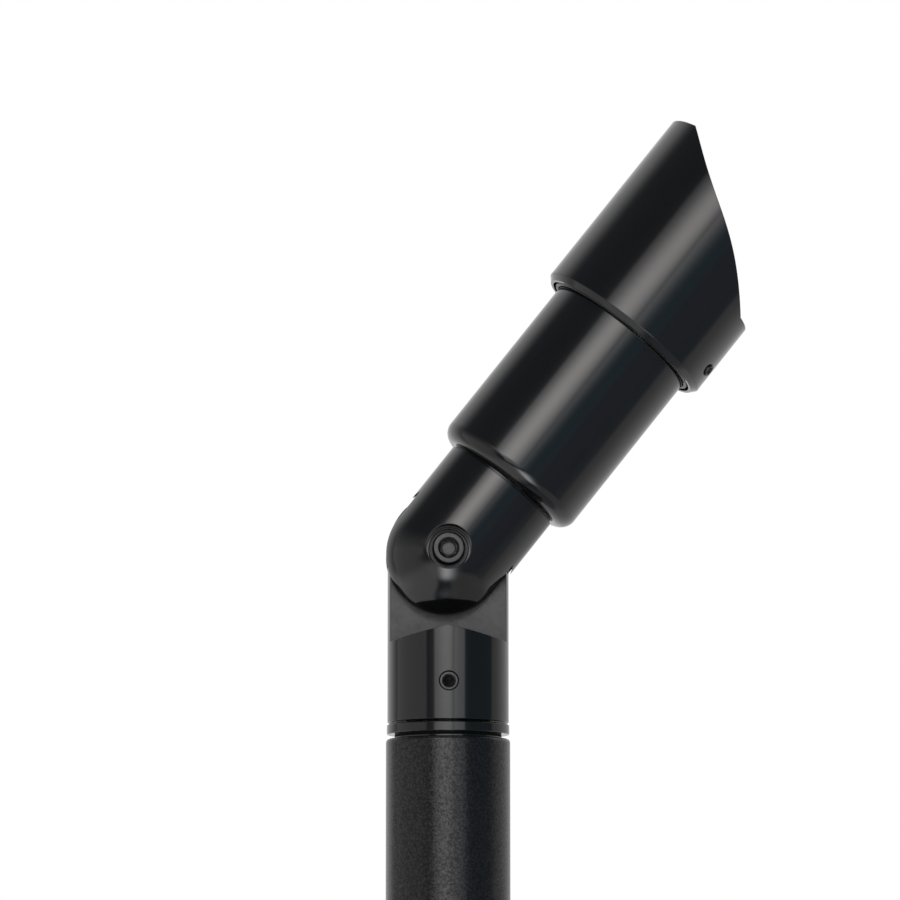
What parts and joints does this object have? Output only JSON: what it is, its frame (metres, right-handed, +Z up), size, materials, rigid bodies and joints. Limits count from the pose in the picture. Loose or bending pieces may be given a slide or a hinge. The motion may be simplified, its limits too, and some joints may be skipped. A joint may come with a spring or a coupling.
{
  "type": "ground spotlight",
  "caption": "Adjustable ground spotlight: lamp barrel with a slanted glare hood on a tilting knuckle, a swivelling stem and a pole with a ground spike.",
  "frame": {"origin": "on the pole's axis at ground level, where the foot plug's lip meets the pole's lower end", "axes": "+Z up along the pole, +X the way the stored head leans, -Y the side with the pivot screw's head and the stem's grub screw"},
  "size_m": [0.1114, 0.058, 0.5652],
  "materials": {
    "gloss_black": "gloss",
    "textured_black": "matte",
    "spike_black": "matte",
    "plug_plastic": "satin",
    "seal_rubber": "matte",
    "driver_potting": "matte",
    "dark_screws": "satin",
    "bright_screws": "satin",
    "bare_aluminium": "satin",
    "lamp_board": "satin",
    "phosphor": "satin",
    "reflector_silver": "polished",
    "nylon": "satin",
    "bronze": "satin",
    "clear_glass": "polished"
  },
  "bodies": {
    "post": {"ground_spike": "spike_black", "foot_plug": "plug_plastic", "foot_screws": "dark_screws", "cable_gland": "seal_rubber", "pole_tube": "textured_black", "pole_adaptor": "gloss_black", "spigot_seal": "seal_rubber"},
    "stem": {"stem": "gloss_black", "stem_set_screw": "dark_screws", "friction_washers": "nylon", "pivot_bush": "bronze"},
    "head": {"arm": "gloss_black", "arm_seal": "seal_rubber", "arm_nut": "bright_screws", "barrel": "gloss_black", "driver": "driver_potting", "heat_sink": "bare_aluminium", "led_board": "lamp_board", "led_emitter": "phosphor", "board_screws": "bright_screws", "reflector": "reflector_silver", "glass_gasket": "seal_rubber", "front_glass": "clear_glass", "bezel_ring": "gloss_black", "pivot_screw": "dark_screws", "pivot_washer": "dark_screws"},
    "seat_ring": {"hood_seat_ring": "seal_rubber"},
    "hood": {"hood": "gloss_black", "hood_set_screw": "dark_screws"}
  },
  "joints": [
    {"name": "stem_swivel", "type": "hinge", "parent": "post", "child": "stem", "pos_m": [0, 0, 0.2], "axis": [0, 0, 1], "range_deg": [-170, 170]},
    {"name": "knuckle_tilt", "type": "hinge", "parent": "stem", "child": "head", "pos_m": [0, 0, 0.2576], "axis": [0, 1, 0], "range_deg": [-78.4, 1.6]},
    {"name": "hood_turn", "type": "hinge", "parent": "head", "child": "seat_ring", "pos_m": [0, 0, 0.2576], "axis": [0.6211, 0, 0.7837], "continuous": true},
    {"name": "hood_slide", "type": "slide", "parent": "seat_ring", "child": "hood", "axis": [0.6211, 0, 0.7837], "range_m": [0, 0.02]}
  ]
}
